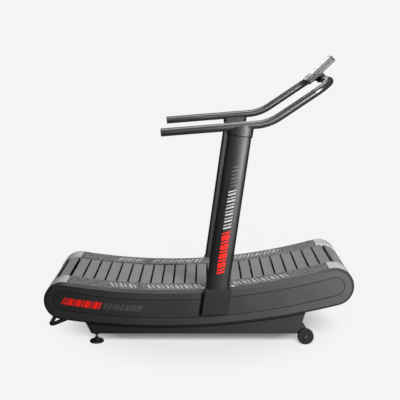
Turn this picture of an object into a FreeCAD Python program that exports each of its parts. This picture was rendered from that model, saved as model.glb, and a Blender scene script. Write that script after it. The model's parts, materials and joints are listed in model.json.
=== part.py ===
import FreeCAD, Part
import math
import os

# Curved manual treadmill, millimetres.
# +X is the front (console end), +Y the runner's left side, +Z up.
# The origin is on the floor, under the middle of the machine.
# Left-hand pieces are built first, and right-hand ones are their mirror image.

V = FreeCAD.Vector
ACROSS = V(0, 1, 0)

# ---- running deck: the deck, belt and side plates share one centre high above the deck
DECK_RADIUS = 3450.0            # radius of the foot rails' top, seen from the side
DECK_LOW_X = -186.0             # the lowest point of the deck lies behind the middle
DECK_LOW_Z = 326.0
BODY_HALF = 112.0               # radius of the body's round front and rear ends
NOSE_X = 777.0                  # centres of those ends
UNDER_RADIUS = 4036.0           # the casing's underside is a little flatter than the deck
MID_RADIUS = DECK_RADIUS + BODY_HALF
DECK_CENTRE = V(DECK_LOW_X, 0, DECK_LOW_Z + DECK_RADIUS)
REAR_ANGLE = math.asin((-NOSE_X - DECK_LOW_X) / MID_RADIUS)
FRONT_ANGLE = math.asin((NOSE_X - DECK_LOW_X) / MID_RADIUS)

# ---- widths, measured from the middle plane
SLAT_END = 216.0
RAIL_INNER = 224.0
RAIL_OUTER = 368.0
CASING_OUTER = 385.0
PLATE_INNER = 227.5
PLATE_OUTER = 233.5

# ---- casing, inset panel, foot rails and end caps
WALL = 4.0
BEVEL = 15.0                    # how far the bevel draws the casing's outer face in
CASING_WALL = 6.0
FLANGE_INNER = 236.0            # inner edge of the casing's underside
PANEL_MIDDLE = 3557.0           # radius of the inset panel's middle line
PANEL_NOSE_X = 779.5
PANEL_HALF = 51.0
PANEL_DEPTH = 3.5
PANEL_GROOVE = 3.5
RAIL_TOP = 110.5                # rail surface under the grip strip
RAIL_BEAD = 6.0                 # plain edge outside the grip strip
RAIL_LIP = 3.0
LIP_FOOT = 92.0
CAP_REAR_X = -756.0             # where the end caps take over from the foot rails
CAP_FRONT_X = 744.0

# ---- slat belt, as distances from the body's middle curve
SLAT_COUNT = 55
SLAT_PHASE = 0.58              # part of a pitch by which the first slat is moved forward
BELT_INNER = 85.0
BELT_OUTER = 91.0
SLAT_BASE = 91.3
SLAT_THICK = 16.0
SLAT_WIDTH = 59.2
SLAT_EDGE = 2.0
BELT_MID = 190.0
BELT_HALF_WIDTH = 15.0
SLAT_BOLT_RADIUS = 3.0
SLAT_BOLT_HEAD = 5.5

# ---- drums and support rollers
RUN_GAP = 0.3
DRUM_RADIUS = BELT_INNER - RUN_GAP
DRUM_TUBE_RADIUS = 48.0
PULLEY_HALF = 17.0
RIM_INNER = 77.0
WEB = 8.0
HUB_RADIUS = 36.0
BEARING_RADIUS = 26.0
BEARING_HALF = 7.5
AXLE_RADIUS = 12.45
AXLE_BORE = 12.5
AXLE_END = 262.0
BLOCK_HALF = 24.0
BLOCK_OUTER = 255.0
ROLLER_RADIUS = 20.0
ROLLER_OFFSET = DRUM_RADIUS - ROLLER_RADIUS
ROLLER_HALF = 13.0
ROLLER_BORE = 6.05
ROLLER_BOLT = 6.0
ROLLER_SHOULDER = 9.0
ROLLER_ANGLES = [math.radians(-7.4 + 5.25 * station) for station in range(5)]

# ---- base frame
PLATE_HALF = 98.0
BASE_Z = 58.0
BASE_REAR_X = -623.0            # where the sloping ends meet the lower edge
BASE_FRONT_X = 579.0
BASE_REAR_SLOPE = math.radians(25.6)
BASE_FRONT_SLOPE = math.radians(16.5)
BASE_INNER = 285.0
BASE_OUTER = 345.0
BASE_SHEET = 4.0
CROSS_REAR_X = -530.0
CROSS_FRONT_X = 480.0
CROSS_HEIGHT = 40.0
CROSS_LENGTH = 60.0
CROSS_TOP = BASE_Z + BASE_SHEET + CROSS_HEIGHT

# ---- levelling feet at the rear, transport wheels at the front
FOOT_X = -596.0
FOOT_Y = 318.0
PAD_RADIUS = 40.5
PAD_RIM = 12.0
PAD_TOP = 26.0
STUD_RADIUS = 6.0
STUD_BORE = 6.05
STUD_FOOT = 10.0
STUD_TOP = 100.0
NUT_FLATS = 22.0
NUT_HEIGHT = 12.0
WHEEL_X = 618.0
WHEEL_Y = 360.0
WHEEL_RADIUS = 47.0
WHEEL_HALF = 12.0
WHEEL_BOLT = 6.0
WHEEL_BORE = 6.05
WHEEL_PLATE_INNER = 341.0
WHEEL_PLATE_OUTER = 347.0

# ---- rear lift handle
HANDLE_RADIUS = 12.0
HANDLE_Y = PLATE_OUTER + HANDLE_RADIUS
HANDLE_REAR_X = -880.0
HANDLE_REAR_Z = 75.0
HANDLE_FRONT_X = -755.0
HANDLE_SLOPE = 23.0
HANDLE_CORNER = 45.0

# ---- uprights and their brackets and collars
LEAN = 7.9                      # degrees forward
UP_X = 105.5                    # the upright's axis passes through UP_X, UP_Z
UP_Z = 346.0
UP_Y = 389.0
UP_LONG = 66.5                  # half axes of the oval section
UP_WIDE = 21.0
UP_WALL = 3.0
UP_FLAT = 9.0                   # depth of the flat on the oval's inner side
UP_START = -92.0                # distances along the leaning axis
COLLAR_START = 879.0
COLLAR_SOCKET = 12.0
COLLAR_GROW = 5.5
BRACKET_SHIFT = 4.5             # the bracket reaches further to the front than to the rear
BRACKET_INNER = 358.0
BRACKET_OUTER = 418.0
BRACKET_TOP_Z = 343.0
BRACKET_LOW_Z = 189.0
BRACKET_HALF = 76.0
BRACKET_BEVEL = 6.0
TONGUE_X0, TONGUE_X1 = 50.0, 150.0
TONGUE_Z0, TONGUE_Z1 = 215.0, 305.0

# ---- handlebar
BAR_RADIUS = 23.0
BAR_WALL = 2.5
BAR_REAR_X = -204.0
BAR_REAR_Z = 1233.0
BAR_SLOPE = math.radians(4.6)
BAR_RISE = math.radians(34.0)
BAR_KNEE_X = 386.0
BAR_FRONT_X = 726.0
BAR_KNEE_Z = BAR_REAR_Z + (BAR_KNEE_X - BAR_REAR_X) * math.tan(BAR_SLOPE)
BAR_FRONT_Z = BAR_KNEE_Z + (BAR_FRONT_X - BAR_KNEE_X) * math.tan(BAR_RISE)
BAR_KNEE_RADIUS = 270.0
BAR_CORNER_RADIUS = 105.0
PLUG_DEPTH = 20.0
PLUG_RIM = 4.0

# ---- console, in its own frame: x up the slope, y across, z out of the face
CONSOLE_TILT = 44.0
CONSOLE_X = 706.2
CONSOLE_Z = 1562.0
CONSOLE_LONG = 204.0
CONSOLE_WIDE = 162.0
CONSOLE_HALF = 18.2
CONSOLE_SEAM = 2.0
CONSOLE_CORNER = 14.0
CONSOLE_WALL = 2.5
WINDOW_X0, WINDOW_X1 = -50.0, 92.0
WINDOW_WIDE = 142.0
WINDOW_THICK = 2.0
BUTTON_X = -76.0
BUTTON_PITCH = 34.0
BUTTON_LONG = 14.0
BUTTON_WIDE = 22.0
BUTTON_PROUD = 1.6
BUTTON_FOOT = 13.0
BUTTON_GAP = 0.3


# ------------------------------------------------------------------ curves of the body
def arc_point(radius, angle, y, centre=DECK_CENTRE):
    """Point of a long curve: angle 0 is straight below its centre, positive to the front."""
    return V(centre.x + radius * math.sin(angle), y, centre.z - radius * math.cos(angle))


def angle_at(x, radius):
    """Angle at which a deck curve of the given radius reaches x."""
    return math.asin((x - DECK_LOW_X) / radius)


def nose_point(end, radius, turn, y, middle=MID_RADIUS):
    """Point round a nose: turn 0 is on the deck side, pi is on the underside."""
    side = math.copysign(1.0, end)
    up = V(-math.sin(end), 0, math.cos(end))
    out = V(math.cos(end), 0, math.sin(end)) * side
    centre = arc_point(middle, end, y)
    return centre + up * (radius * math.cos(turn)) + out * (radius * math.sin(turn))


def long_edge(radius, start, end, y, centre=DECK_CENTRE):
    halfway = (start + end) / 2
    return Part.Arc(arc_point(radius, start, y, centre), arc_point(radius, halfway, y, centre),
                    arc_point(radius, end, y, centre)).toShape()


def nose_edge(end, radius, start, stop, y, middle=MID_RADIUS):
    halfway = (start + stop) / 2
    return Part.Arc(nose_point(end, radius, start, y, middle), nose_point(end, radius, halfway, y, middle),
                    nose_point(end, radius, stop, y, middle)).toShape()


def band(half, y0, y1, middle=MID_RADIUS, nose_x=NOSE_X):
    """Plate of even height along a deck curve, with round ends."""
    rear = angle_at(-nose_x, middle)
    front = angle_at(nose_x, middle)
    outline = Part.Wire([
        long_edge(middle - half, rear, front, y0),
        nose_edge(front, half, 0, math.pi, y0, middle),
        long_edge(middle + half, front, rear, y0),
        nose_edge(rear, half, math.pi, 0, y0, middle),
    ])
    return Part.Face(outline).extrude(V(0, y1 - y0, 0))


def under_centre():
    """Centre of the underside curve, which runs smoothly into both noses."""
    rear = arc_point(MID_RADIUS, REAR_ANGLE, 0)
    front = arc_point(MID_RADIUS, FRONT_ANGLE, 0)
    chord = front - rear
    rise = math.sqrt((UNDER_RADIUS - BODY_HALF) ** 2 - (chord.Length / 2) ** 2)
    return (rear + front) * 0.5 + V(-chord.z, 0, chord.x).normalize() * rise


def under_angle(end):
    """Where the underside curve meets a nose, as an angle about its own centre."""
    nose = arc_point(MID_RADIUS, end, 0) - under_centre()
    return math.atan2(nose.x, -nose.z)


def nose_stop(end):
    """Turn at which a nose runs into the underside curve."""
    return math.pi + abs(end) - abs(under_angle(end))


def cover_wire(inset, y):
    """Closed side outline of the covers, drawn in by a given distance."""
    radius = BODY_HALF - inset
    return Part.Wire([
        long_edge(DECK_RADIUS + inset, REAR_ANGLE, FRONT_ANGLE, y),
        nose_edge(FRONT_ANGLE, radius, 0, nose_stop(FRONT_ANGLE), y),
        long_edge(UNDER_RADIUS - inset, under_angle(FRONT_ANGLE), under_angle(REAR_ANGLE), y,
                  under_centre()),
        nose_edge(REAR_ANGLE, radius, nose_stop(REAR_ANGLE), 0, y),
    ])


def ring(outer, inner, y0, y1):
    return band(outer, y0, y1).cut(band(inner, y0, y1))


def closed_face(edges, y_step):
    return Part.Face(Part.Wire(edges)).extrude(V(0, y_step, 0))


def curved_sheet(top, bottom, start, end, y0, y1, centre=DECK_CENTRE):
    """Curved strip between two radii about one centre."""
    return closed_face([
        long_edge(top, start, end, y0, centre),
        Part.makeLine(arc_point(top, end, y0, centre), arc_point(bottom, end, y0, centre)),
        long_edge(bottom, end, start, y0, centre),
        Part.makeLine(arc_point(bottom, start, y0, centre), arc_point(top, start, y0, centre)),
    ], y1 - y0)


def deck_sheet(high, low, start, end, y0, y1):
    """Curved strip between two heights above the middle curve."""
    return curved_sheet(MID_RADIUS - high, MID_RADIUS - low, start, end, y0, y1)


def deck_angle(x):
    return angle_at(x, DECK_RADIUS)


# ------------------------------------------------------------------ general shapes
def box(x0, x1, y0, y1, z0, z1):
    return Part.makeBox(x1 - x0, y1 - y0, z1 - z0, V(x0, y0, z0))


def rod(radius, x, z, y0, y1):
    return Part.makeCylinder(radius, y1 - y0, V(x, y0, z), ACROSS)


def tube(outer, inner, x, z, y0, y1):
    return rod(outer, x, z, y0, y1).cut(rod(inner, x, z, y0, y1))


def both_sides(shape):
    return Part.makeCompound([shape, mirrored(shape)])


def mirrored(shape):
    return shape.mirror(V(0, 0, 0), ACROSS)


def rounded_path(points, radii, closed=False):
    """Straight runs joined by tangent arcs; radii has one value for each point, 0 for sharp."""
    count = len(points)
    edges = []
    starts = {}
    ends = {}
    for i in range(count):
        inner = closed or 0 < i < count - 1
        if not inner or radii[i] == 0:
            starts[i] = ends[i] = points[i]
            continue
        to_last = (points[i - 1] - points[i]).normalize()
        to_next = (points[(i + 1) % count] - points[i]).normalize()
        half = to_last.getAngle(to_next) / 2
        reach = radii[i] / math.tan(half)
        bisector = (to_last + to_next).normalize()
        centre = points[i] + bisector * (radii[i] / math.sin(half))
        starts[i] = points[i] + to_last * reach
        ends[i] = points[i] + to_next * reach
        edges.append((i, Part.Arc(starts[i], centre - bisector * radii[i], ends[i]).toShape()))
    arcs = dict(edges)
    path = []
    for i in range(count):
        if i in arcs:
            path.append(arcs[i])
        if closed or i < count - 1:
            path.append(Part.makeLine(ends[i], starts[(i + 1) % count]))
    return Part.Wire(path)


def side_plate_shape(corners, radii, y0, y1):
    """Plate cut to a rounded outline of (x, z) corners, between two y planes."""
    points = [V(x, y0, z) for x, z in corners]
    return Part.Face(rounded_path(points, radii, closed=True)).extrude(V(0, y1 - y0, 0))


def rounded_block(x0, x1, width, z0, z1, corner):
    """Flat block with rounded corners in plan, centred on y = 0."""
    half = width / 2
    points = [V(x0, -half, z0), V(x1, -half, z0), V(x1, half, z0), V(x0, half, z0)]
    wire = rounded_path(points, [corner] * 4, closed=True)
    return Part.Face(wire).extrude(V(0, 0, z1 - z0))


def round_pipe(path, radius):
    start = path.Vertexes[0].Point
    heading = path.Edges[0].tangentAt(path.Edges[0].FirstParameter)
    profile = Part.Wire(Part.makeCircle(radius, start, heading))
    return path.makePipeShell([profile], True, False)


def hexagon(flats, x, y, z0, z1):
    corner = flats / math.sqrt(3)
    points = [V(x + corner * math.cos(math.radians(60 * k)),
                y + corner * math.sin(math.radians(60 * k)), z0) for k in range(7)]
    return Part.Face(Part.makePolygon(points)).extrude(V(0, 0, z1 - z0))


def turned(profile, x, y):
    """Solid of revolution about a vertical axis from (radius, z) points."""
    points = [V(x + r, y, z) for r, z in profile]
    face = Part.Face(Part.makePolygon(points + points[:1]))
    return face.revolve(V(x, y, 0), V(0, 0, 1), 360)


def turned_across(profile, x, z):
    """Solid of revolution about a line across the machine from (radius, y) points."""
    points = [V(x + r, y, z) for r, y in profile]
    face = Part.Face(Part.makePolygon(points + points[:1]))
    return face.revolve(V(x, 0, z), ACROSS, 360)


# ------------------------------------------------------------------ base frame
def front_slope(z):
    """Front end of the base frame at a given height."""
    return BASE_FRONT_X + (z - BASE_Z) * math.tan(BASE_FRONT_SLOPE)


def base_outline():
    high = 250.0                # above the casing's underside everywhere
    rear_high = BASE_REAR_X - (high - BASE_Z) * math.tan(BASE_REAR_SLOPE)
    corners = [(BASE_REAR_X, BASE_Z), (BASE_FRONT_X, BASE_Z), (front_slope(high), high), (rear_high, high)]
    return side_plate_shape(corners, [14, 14, 0, 0], BASE_INNER, BASE_OUTER)


def base_frame():
    """Sheet channel, open towards the middle, its top following the casing's underside."""
    covers = Part.Face(cover_wire(-0.5, BASE_INNER - 1)).extrude(V(0, BASE_OUTER - BASE_INNER + 2, 0))
    side = base_outline().cut(covers)
    outline = [face for face in side.Faces if abs(face.CenterOfMass.y - BASE_INNER) < 0.01][0]
    hollow = outline.makeOffset2D(-BASE_SHEET)
    hollow = hollow.extrude(V(0, BASE_OUTER - BASE_INNER - BASE_SHEET, 0))
    stud_hole = Part.makeCylinder(STUD_BORE, 2 * BASE_SHEET, V(FOOT_X, FOOT_Y, BASE_Z - BASE_SHEET))
    return side.cut(hollow).cut(stud_hole)


def cross_member(x):
    reach = BASE_OUTER - BASE_SHEET
    z0 = BASE_Z + BASE_SHEET
    half = CROSS_LENGTH / 2
    wall = 3.0
    outer = box(x - half, x + half, -reach, reach, z0, CROSS_TOP)
    inner = box(x - half + wall, x + half - wall, -reach, reach, z0 + wall, CROSS_TOP - wall)
    return outer.cut(inner)


def side_plate():
    """Steel plate beside the belt that carries the axles and the support rollers."""
    plate = band(PLATE_HALF, PLATE_INNER, PLATE_OUTER)
    for x in (CROSS_REAR_X, CROSS_FRONT_X):
        plate = plate.fuse(box(x - 45, x + 45, PLATE_INNER, PLATE_OUTER, CROSS_TOP, 235))
    plate = plate.fuse(side_plate_shape([(-782, 112), (-712, 112), (-700, 235), (-786, 235)],
                                        [12, 12, 0, 0], PLATE_INNER, PLATE_OUTER))
    for x, z in drum_centres():
        plate = plate.cut(rod(AXLE_BORE, x, z, PLATE_INNER - 1, PLATE_OUTER + 1))
    for x, z in roller_centres():
        plate = plate.cut(rod(ROLLER_BORE, x, z, PLATE_INNER - 1, PLATE_OUTER + 1))
    for x, z in bracket_bolt_places():
        plate = plate.cut(rod(5.1, x, z, PLATE_INNER - 1, PLATE_OUTER + 1))
    for x, z in lightening_places():
        plate = plate.cut(rod(30, x, z, PLATE_INNER - 1, PLATE_OUTER + 1))
    return plate


def lightening_places():
    """Round holes between the axles and the roller stations, clear of the bracket."""
    places = [arc_point(MID_RADIUS + 20, math.radians(a), 0) for a in (-6.5, -4.5, -2.5, -0.5, 8, 10, 12)]
    return [(p.x, p.z) for p in places]


# ------------------------------------------------------------------ casing and rails
def bracket_outline(grow, y0, y1):
    low_x = UP_X + BRACKET_SHIFT + (BRACKET_LOW_Z - UP_Z) * math.tan(math.radians(LEAN))
    top_x = UP_X + BRACKET_SHIFT + (BRACKET_TOP_Z - UP_Z) * math.tan(math.radians(LEAN))
    reach = BRACKET_HALF + grow
    tilt = 5.5                  # the lower edge runs along the inset panel's groove
    corners = [(low_x - reach, BRACKET_LOW_Z - tilt - grow), (low_x + reach, BRACKET_LOW_Z + tilt - grow),
               (top_x + reach, BRACKET_TOP_Z + grow), (top_x - reach, BRACKET_TOP_Z + grow)]
    return side_plate_shape(corners, [9, 9, 8, 8], y0, y1)


def side_casing():
    """Dished cover with a bevelled rim, a recess for the panel and a flat underside."""
    outer = Part.makeLoft([cover_wire(0, RAIL_OUTER), cover_wire(BEVEL, CASING_OUTER)], True, True)
    inner = Part.makeLoft([cover_wire(WALL, RAIL_OUTER),
                           cover_wire(BEVEL + WALL, CASING_OUTER - CASING_WALL)], True, True)
    flange = curved_sheet(UNDER_RADIUS - WALL, UNDER_RADIUS, under_angle(REAR_ANGLE),
                          under_angle(FRONT_ANGLE), FLANGE_INNER, RAIL_OUTER + 1, under_centre())
    shell = outer.cut(inner).fuse(flange)
    recess = panel_blank(PANEL_GROOVE, CASING_OUTER + 1)
    opening = bracket_outline(0.6, RAIL_OUTER - 4, CASING_OUTER + 1)
    return shell.cut(recess).cut(opening).removeSplitter()


def panel_blank(grow, y1):
    return band(PANEL_HALF + grow, CASING_OUTER - PANEL_DEPTH, y1, PANEL_MIDDLE, PANEL_NOSE_X)


def side_panel():
    return panel_blank(0, CASING_OUTER).cut(bracket_outline(0.6, RAIL_OUTER, CASING_OUTER + 1))


def foot_rail():
    """Top cover beside the belt, with an inner lip and a plain outer bead."""
    start = deck_angle(CAP_REAR_X)
    end = deck_angle(CAP_FRONT_X)
    edge = RAIL_OUTER - RAIL_BEAD
    rail = deck_sheet(RAIL_TOP, RAIL_TOP - WALL, start, end, RAIL_INNER, edge)
    rail = rail.fuse(deck_sheet(BODY_HALF, RAIL_TOP - WALL - 2, start, end, edge, RAIL_OUTER))
    rail = rail.fuse(deck_sheet(RAIL_TOP, LIP_FOOT, start, end, RAIL_INNER, RAIL_INNER + RAIL_LIP))
    return rail.cut(bracket_outline(1.0, BRACKET_INNER - 1, RAIL_OUTER + 1)).removeSplitter()


def grip_strip():
    strip = deck_sheet(BODY_HALF, RAIL_TOP, deck_angle(CAP_REAR_X + 0.5), deck_angle(CAP_FRONT_X - 0.5),
                       RAIL_INNER, RAIL_OUTER - RAIL_BEAD - 0.3)
    return strip.cut(bracket_outline(1.0, BRACKET_INNER - 1, RAIL_OUTER + 1))


def cap_strip(end, outer, inner, y0, y1):
    """Strip that starts on the deck and wraps the whole nose to the underside."""
    start = deck_angle(CAP_FRONT_X + 0.4 if end > 0 else CAP_REAR_X - 0.4)
    stop = nose_stop(end)
    return closed_face([
        long_edge(MID_RADIUS - outer, start, end, y0),
        nose_edge(end, outer, 0, stop, y0),
        Part.makeLine(nose_point(end, outer, stop, y0), nose_point(end, inner, stop, y0)),
        nose_edge(end, inner, stop, 0, y0),
        long_edge(MID_RADIUS - inner, end, start, y0),
        Part.makeLine(arc_point(MID_RADIUS - inner, start, y0), arc_point(MID_RADIUS - outer, start, y0)),
    ], y1 - y0)


def rail_cap(end):
    cap = cap_strip(end, BODY_HALF, BODY_HALF - WALL, RAIL_INNER, RAIL_OUTER)
    lip = cap_strip(end, BODY_HALF - WALL, LIP_FOOT, RAIL_INNER, RAIL_INNER + RAIL_LIP)
    cap = cap.fuse(lip)
    return cap.removeSplitter()


# ------------------------------------------------------------------ slat belt
def loop_place(distance, half):
    """Point, heading angle (degrees about Y) a given way along the belt loop."""
    span = FRONT_ANGLE - REAR_ANGLE
    top = (MID_RADIUS - half) * span
    nose = math.pi * half
    bottom = (MID_RADIUS + half) * span
    distance = distance % (top + bottom + 2 * nose)
    if distance < top:
        angle = REAR_ANGLE + distance / (MID_RADIUS - half)
        return arc_point(MID_RADIUS - half, angle, 0), -math.degrees(angle)
    distance -= top
    if distance < nose:
        turn = distance / half
        return nose_point(FRONT_ANGLE, half, turn, 0), math.degrees(turn - FRONT_ANGLE)
    distance -= nose
    if distance < bottom:
        angle = FRONT_ANGLE - distance / (MID_RADIUS + half)
        return arc_point(MID_RADIUS + half, angle, 0), 180 - math.degrees(angle)
    distance -= bottom
    turn = math.pi - distance / half
    return nose_point(REAR_ANGLE, half, turn, 0), -math.degrees(turn + REAR_ANGLE)


def loop_length(half):
    span = FRONT_ANGLE - REAR_ANGLE
    return 2 * MID_RADIUS * span + 2 * math.pi * half


def along_the_loop(piece):
    """Copies of a piece, modelled at the origin on a flat belt, at every slat."""
    pitch = loop_length(SLAT_BASE) / SLAT_COUNT
    copies = []
    for index in range(SLAT_COUNT):
        place, heading = loop_place((index + SLAT_PHASE) * pitch, SLAT_BASE)
        rotation = FreeCAD.Rotation(ACROSS, heading)
        copy = piece.copy()
        copy.Placement = FreeCAD.Placement(place, rotation)
        copies.append(copy)
    return Part.makeCompound(copies)


def tread_slats():
    half = SLAT_WIDTH / 2
    slat = box(-half, half, -SLAT_END, SLAT_END, 0, SLAT_THICK)
    upper = [edge for edge in slat.Edges if edge.BoundBox.ZMin > SLAT_THICK - 0.1]
    return along_the_loop(slat.makeFillet(SLAT_EDGE, upper))


def slat_bolts():
    """One bolt for each slat and belt, its head sunk in the belt's inner side."""
    foot = BELT_INNER - SLAT_BASE + 0.4
    bolts = []
    for y in (-BELT_MID, BELT_MID):
        head = Part.makeCylinder(SLAT_BOLT_HEAD, 2.0, V(0, y, foot))
        shank = Part.makeCylinder(SLAT_BOLT_RADIUS, 11.0, V(0, y, foot))
        bolts.append(head.fuse(shank))
    return along_the_loop(Part.makeCompound(bolts))


def carrier_belt():
    return ring(BELT_OUTER, BELT_INNER, BELT_MID - BELT_HALF_WIDTH, BELT_MID + BELT_HALF_WIDTH)


# ------------------------------------------------------------------ drums and rollers
def drum_centres():
    rear = arc_point(MID_RADIUS, REAR_ANGLE, 0)
    front = arc_point(MID_RADIUS, FRONT_ANGLE, 0)
    return [(rear.x, rear.z), (front.x, front.z)]


def roller_centres():
    places = [arc_point(MID_RADIUS - ROLLER_OFFSET, angle, 0) for angle in ROLLER_ANGLES]
    return [(place.x, place.z) for place in places]


def drum(x, z):
    """Centre tube with a webbed pulley for each carrier belt."""
    inner = BELT_MID - PULLEY_HALF
    outer = BELT_MID + PULLEY_HALF
    pulley = turned_across([
        (BEARING_RADIUS, inner), (BEARING_RADIUS, outer), (HUB_RADIUS, outer),
        (HUB_RADIUS, inner + WEB), (RIM_INNER, inner + WEB), (RIM_INNER, outer),
        (DRUM_RADIUS, outer), (DRUM_RADIUS, inner),
    ], x, z)
    middle = tube(DRUM_TUBE_RADIUS, DRUM_TUBE_RADIUS - WALL, x, z, -inner - 2, inner + 2)
    return middle.fuse([pulley, mirrored(pulley)])


def drum_bearings(x, z):
    return both_sides(tube(BEARING_RADIUS, AXLE_BORE, x, z, BELT_MID - BEARING_HALF,
                           BELT_MID + BEARING_HALF))


def drum_axles():
    return Part.makeCompound([rod(AXLE_RADIUS, x, z, -AXLE_END, AXLE_END) for x, z in drum_centres()])


def axle_blocks():
    """A block bolted outside each side plate holds each axle end."""
    blocks = []
    for x, z in drum_centres():
        corners = [(x - BLOCK_HALF, z - BLOCK_HALF), (x + BLOCK_HALF, z - BLOCK_HALF),
                   (x + BLOCK_HALF, z + BLOCK_HALF), (x - BLOCK_HALF, z + BLOCK_HALF)]
        block = side_plate_shape(corners, [8] * 4, PLATE_OUTER, BLOCK_OUTER)
        block = block.cut(rod(AXLE_BORE, x, z, PLATE_OUTER - 1, BLOCK_OUTER + 1))
        blocks += [block, mirrored(block)]
    return Part.makeCompound(blocks)


def roller_pair(x, z):
    edge = 1.5
    low = BELT_MID - ROLLER_HALF
    high = BELT_MID + ROLLER_HALF
    roller = turned_across([(ROLLER_BORE, low), (ROLLER_BORE, high), (ROLLER_RADIUS - edge, high),
                            (ROLLER_RADIUS, high - edge), (ROLLER_RADIUS, low + edge),
                            (ROLLER_RADIUS - edge, low)], x, z)
    return both_sides(roller)


def roller_bolts():
    """Shoulder bolts through the side plates, one for each support roller."""
    bolts = []
    head = BELT_MID - ROLLER_HALF - RUN_GAP
    shoulder = BELT_MID + ROLLER_HALF + RUN_GAP
    for x, z in roller_centres():
        bolt = turned_across([(0, head - 5), (ROLLER_SHOULDER, head - 5), (ROLLER_SHOULDER, head),
                              (ROLLER_BOLT, head), (ROLLER_BOLT, shoulder),
                              (ROLLER_SHOULDER, shoulder), (ROLLER_SHOULDER, PLATE_INNER),
                              (ROLLER_BOLT, PLATE_INNER), (ROLLER_BOLT, PLATE_OUTER),
                              (ROLLER_SHOULDER, PLATE_OUTER), (ROLLER_SHOULDER, PLATE_OUTER + 6),
                              (0, PLATE_OUTER + 6)], x, z)
        bolts += [bolt, mirrored(bolt)]
    return Part.makeCompound(bolts)


# ------------------------------------------------------------------ feet and wheels
def foot_pad():
    """Domed round pad with a socket for the stud."""
    profile = [(0, 0), (PAD_RADIUS - 2, 0), (PAD_RADIUS, 2), (PAD_RADIUS, PAD_RIM - 2),
               (PAD_RADIUS - 2, PAD_RIM), (20, 17), (13, PAD_TOP), (STUD_BORE, PAD_TOP),
               (STUD_BORE, STUD_FOOT), (0, STUD_FOOT)]
    return turned(profile, FOOT_X, FOOT_Y)


def foot_stud():
    bottom = STUD_FOOT + 0.3
    stud = Part.makeCylinder(STUD_RADIUS, STUD_TOP - bottom, V(FOOT_X, FOOT_Y, bottom))
    return stud.fuse(hexagon(16.0, FOOT_X, FOOT_Y, PAD_TOP + 0.5, PAD_TOP + 7))


def foot_locknut():
    nut = hexagon(NUT_FLATS, FOOT_X, FOOT_Y, BASE_Z - NUT_HEIGHT, BASE_Z)
    hole = Part.makeCylinder(STUD_BORE, NUT_HEIGHT + 2, V(FOOT_X, FOOT_Y, BASE_Z - NUT_HEIGHT - 1))
    return nut.cut(hole)


def wheel():
    """Moulded wheel: a rounded tread, a recessed face on each side and a hub."""
    low = WHEEL_Y - WHEEL_HALF
    high = WHEEL_Y + WHEEL_HALF
    dish = 3.0
    return turned_across([
        (WHEEL_BORE, low), (WHEEL_BORE, high), (14, high), (16, high - dish), (32, high - dish),
        (34, high), (WHEEL_RADIUS - 4, high), (WHEEL_RADIUS - 1, high - 2), (WHEEL_RADIUS, high - 5),
        (WHEEL_RADIUS, low + 5), (WHEEL_RADIUS - 1, low + 2), (WHEEL_RADIUS - 4, low),
        (34, low), (32, low + dish), (16, low + dish), (14, low),
    ], WHEEL_X, WHEEL_RADIUS)


def wheel_bracket():
    """Plate on the base frame's front slope, with a flange along the slope."""
    z_low, z_high = 74.0, 122.0
    rear = 0.4
    plate = side_plate_shape([
        (front_slope(z_low) + rear, z_low), (WHEEL_X - 16, WHEEL_RADIUS - 18),
        (WHEEL_X + 18, WHEEL_RADIUS - 18), (WHEEL_X + 18, WHEEL_RADIUS + 24),
        (front_slope(z_high) + 8, z_high), (front_slope(z_high) + rear, z_high),
    ], [2, 14, 14, 12, 3, 2], WHEEL_PLATE_INNER, WHEEL_PLATE_OUTER)
    flange = side_plate_shape([
        (front_slope(z_low + 16) + rear, z_low + 16), (front_slope(z_low + 16) + 5, z_low + 16),
        (front_slope(z_high) + 5, z_high), (front_slope(z_high) + rear, z_high),
    ], [0, 0, 0, 0], BASE_INNER + 5, WHEEL_PLATE_INNER + 1)
    bracket = plate.fuse(flange).removeSplitter()
    hole = rod(WHEEL_BOLT, WHEEL_X, WHEEL_RADIUS, WHEEL_PLATE_INNER - 1, WHEEL_PLATE_OUTER + 1)
    return bracket.cut(hole)


def wheel_bolt():
    """Shoulder bolt: head outside the wheel, nut behind the bracket plate."""
    low = WHEEL_Y - WHEEL_HALF - RUN_GAP
    high = WHEEL_Y + WHEEL_HALF + RUN_GAP
    return turned_across([
        (0, WHEEL_PLATE_INNER - 8), (9, WHEEL_PLATE_INNER - 8), (9, WHEEL_PLATE_INNER),
        (WHEEL_BOLT, WHEEL_PLATE_INNER), (WHEEL_BOLT, WHEEL_PLATE_OUTER), (9, WHEEL_PLATE_OUTER),
        (9, low), (WHEEL_BOLT, low), (WHEEL_BOLT, high), (9, high), (9, high + 4), (7.5, high + 5),
        (0, high + 5),
    ], WHEEL_X, WHEEL_RADIUS)


def lift_handle():
    """One bent tube under the rear nose, welded ends on the side plates."""
    front_z = HANDLE_REAR_Z + (HANDLE_FRONT_X - HANDLE_REAR_X) * math.tan(math.radians(HANDLE_SLOPE))
    points = [V(HANDLE_FRONT_X, -HANDLE_Y, front_z), V(HANDLE_REAR_X, -HANDLE_Y, HANDLE_REAR_Z),
              V(HANDLE_REAR_X, HANDLE_Y, HANDLE_REAR_Z), V(HANDLE_FRONT_X, HANDLE_Y, front_z)]
    path = rounded_path(points, [0, HANDLE_CORNER, HANDLE_CORNER, 0])
    return round_pipe(path, HANDLE_RADIUS).cut(round_pipe(path, HANDLE_RADIUS - 2))


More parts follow.
